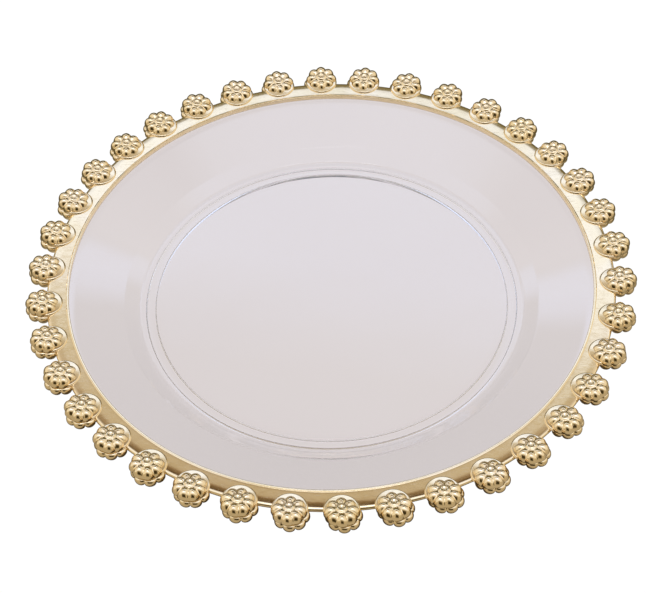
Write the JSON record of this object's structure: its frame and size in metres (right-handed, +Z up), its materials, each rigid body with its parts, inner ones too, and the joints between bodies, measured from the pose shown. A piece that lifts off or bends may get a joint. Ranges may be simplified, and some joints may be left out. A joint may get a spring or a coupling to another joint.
{
  "type": "charger plate",
  "caption": "round clear charger plate with a flat well, a rising rim and a mirror-gold band whose outer edge carries a ring of flower beads",
  "frame": {"origin": "centre of the circle that the foot ring stands on, at table height", "axes": "+Z up, the plate's axis of symmetry; +Y and -Y each pass through the middle of a flower bead, +X and -X each pass midway between two beads"},
  "size_m": [0.329, 0.33, 0.0294],
  "materials": {
    "clear_body": "gloss",
    "gold_plating": "polished"
  },
  "bodies": {
    "root": {"clear_plate": "clear_body", "rim_band": "gold_plating", "flower_bead_01": "gold_plating", "flower_bead_02": "gold_plating", "flower_bead_03": "gold_plating", "flower_bead_04": "gold_plating", "flower_bead_05": "gold_plating", "flower_bead_06": "gold_plating", "flower_bead_07": "gold_plating", "flower_bead_08": "gold_plating", "flower_bead_09": "gold_plating", "flower_bead_10": "gold_plating", "flower_bead_11": "gold_plating", "flower_bead_12": "gold_plating", "flower_bead_13": "gold_plating", "flower_bead_14": "gold_plating", "flower_bead_15": "gold_plating", "flower_bead_16": "gold_plating", "flower_bead_17": "gold_plating", "flower_bead_18": "gold_plating", "flower_bead_19": "gold_plating", "flower_bead_20": "gold_plating", "flower_bead_21": "gold_plating", "flower_bead_22": "gold_plating", "flower_bead_23": "gold_plating", "flower_bead_24": "gold_plating", "flower_bead_25": "gold_plating", "flower_bead_26": "gold_plating", "flower_bead_27": "gold_plating", "flower_bead_28": "gold_plating", "flower_bead_29": "gold_plating", "flower_bead_30": "gold_plating", "flower_bead_31": "gold_plating", "flower_bead_32": "gold_plating", "flower_bead_33": "gold_plating", "flower_bead_34": "gold_plating", "flower_bead_35": "gold_plating", "flower_bead_36": "gold_plating", "flower_bead_37": "gold_plating", "flower_bead_38": "gold_plating"}
  },
  "joints": []
}
